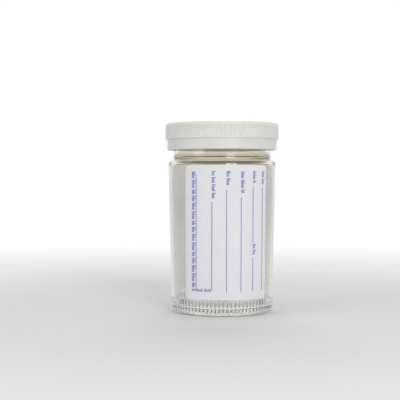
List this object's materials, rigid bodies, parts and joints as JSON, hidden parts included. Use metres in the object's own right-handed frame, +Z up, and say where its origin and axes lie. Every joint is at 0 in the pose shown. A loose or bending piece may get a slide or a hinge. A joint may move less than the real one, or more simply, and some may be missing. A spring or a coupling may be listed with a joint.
{
  "type": "specimen container",
  "caption": "Clear straight-sided specimen jar with a fluted base band, a knurled white screw cap over a sealing disc, and a paper form label.",
  "frame": {"origin": "centre of the base, on the plane that the container stands on", "axes": "+Z up along the container's axis to the cap; the middle of the label faces -Y"},
  "size_m": [0.053, 0.053, 0.088],
  "materials": {
    "clear_plastic": "clear moulded plastic with a faint warm tint",
    "white_plastic": "satin white moulded plastic",
    "foam_plastic": "soft white closed-cell foam",
    "paper": "uncoated self-adhesive paper"
  },
  "bodies": {
    "container": {"container": "clear_plastic", "label": "paper"},
    "seal": {"seal": "foam_plastic"},
    "cap": {"cap": "white_plastic"}
  },
  "joints": [
    {"name": "cap_lift", "type": "slide", "parent": "container", "child": "seal", "axis": [0, 0, 1], "range_m": [0, 0.0127]},
    {"name": "cap_turn", "type": "hinge", "parent": "seal", "child": "cap", "pos_m": [0, 0, 0.088], "axis": [0, 0, 1], "range_deg": [0, 540]}
  ],
  "couplings": [
    {"joint": "cap_lift", "follows": "cap_turn", "m_per_rad": 0.0013474}
  ]
}
